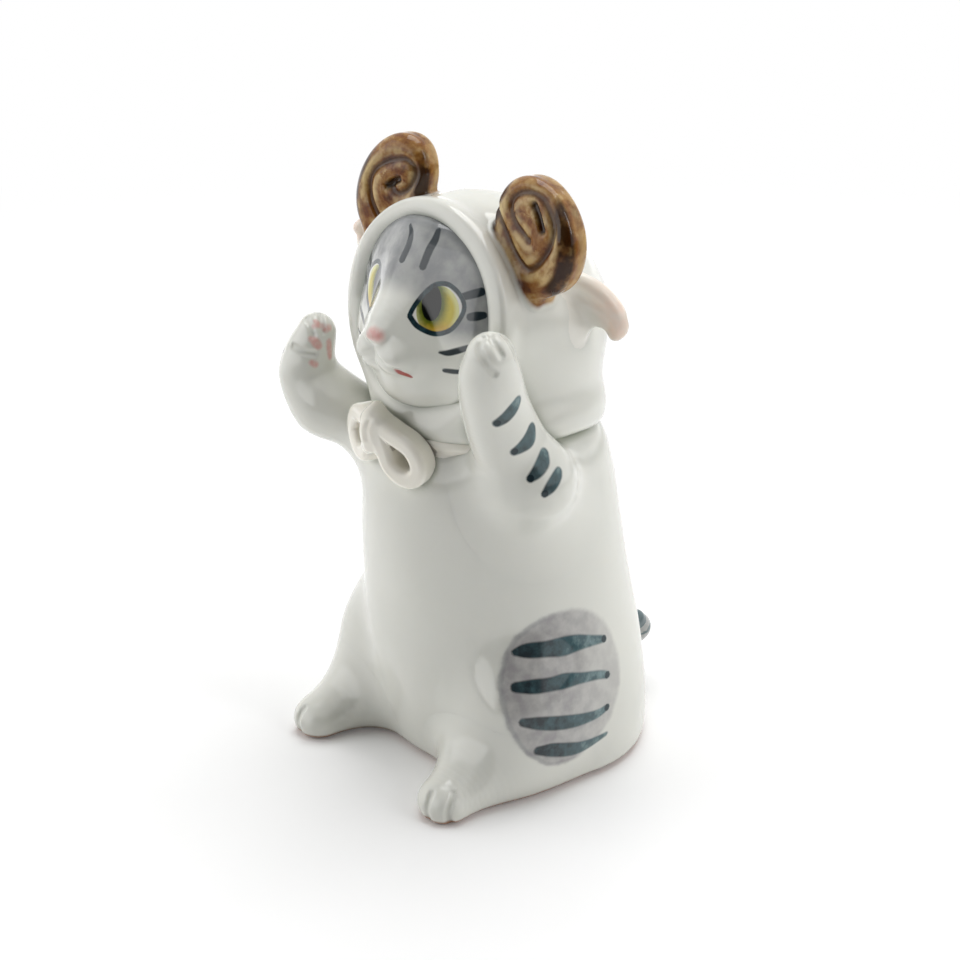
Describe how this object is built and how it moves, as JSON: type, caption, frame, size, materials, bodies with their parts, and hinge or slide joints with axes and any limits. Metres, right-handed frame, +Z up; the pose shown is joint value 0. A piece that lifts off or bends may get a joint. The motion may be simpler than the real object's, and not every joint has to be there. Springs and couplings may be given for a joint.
{
  "type": "cat figurine",
  "caption": "Hand-painted glazed porcelain cat dressed as a ram, sitting up with raised front paws, a round-faced hood, coiled horns, drooping ears and a bow at the neck",
  "frame": {"origin": "Middle of the flat base, on the plane of the table", "axes": "+Z up, -Y the way the cat faces, +X towards the cat's left"},
  "size_m": [0.0522, 0.0565, 0.0926],
  "materials": {
    "porcelain_white": "clear glaze over white porcelain, high gloss",
    "face_wash": "grey and teal underglaze painting under clear gloss glaze",
    "horn_brown": "mottled cream and brown glaze, high gloss",
    "ear_blush": "clear glaze with a peach blush, high gloss",
    "tail_wash": "blue-grey striped underglaze under clear gloss glaze"
  },
  "bodies": {
    "root": {"body_shell": "porcelain_white", "left_hind_foot": "porcelain_white", "right_hind_foot": "porcelain_white", "hood": "porcelain_white", "head": "face_wash", "left_horn": "horn_brown", "right_horn": "horn_brown", "left_ear": "ear_blush", "right_ear": "ear_blush", "left_arm": "porcelain_white", "right_arm": "porcelain_white", "neck_ribbon": "porcelain_white", "left_bow_loop": "porcelain_white", "right_bow_loop": "porcelain_white", "bow_knot": "porcelain_white", "tail": "tail_wash"}
  },
  "joints": []
}
